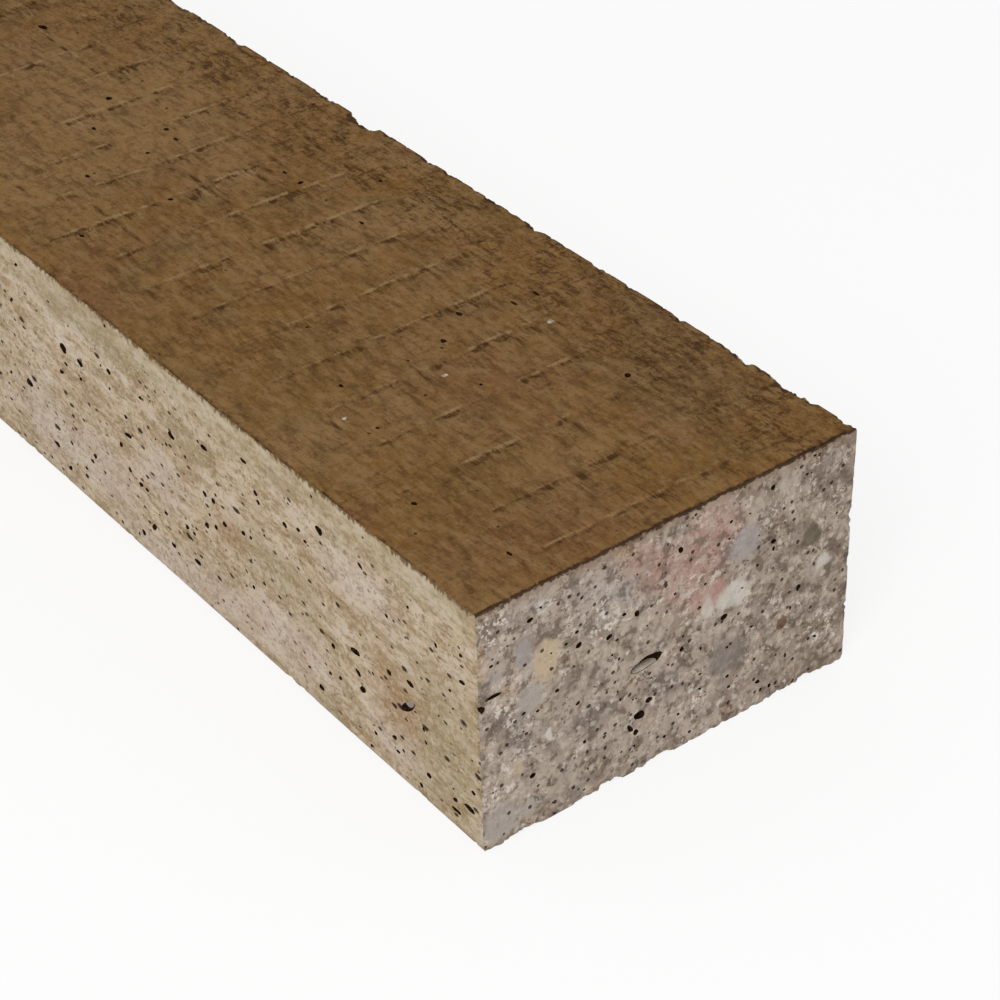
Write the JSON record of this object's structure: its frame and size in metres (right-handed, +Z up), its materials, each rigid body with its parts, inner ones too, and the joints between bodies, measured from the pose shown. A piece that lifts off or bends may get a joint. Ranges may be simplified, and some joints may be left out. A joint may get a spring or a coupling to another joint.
{
  "type": "concrete lintel",
  "caption": "Straight precast concrete lintel with a rectangular section, a screeded brown top, pitted cast sides and sawn ends that show the aggregate; it carries masonry over an opening.",
  "frame": {"origin": "centre of the underside, on the surface that the lintel lies on", "axes": "+X along the length towards the near sawn end, +Y across the width, +Z up through the screeded top"},
  "size_m": [0.6, 0.105, 0.065],
  "materials": {
    "concrete": "rough"
  },
  "bodies": {
    "root": {"lintel_body": "concrete"}
  },
  "joints": []
}
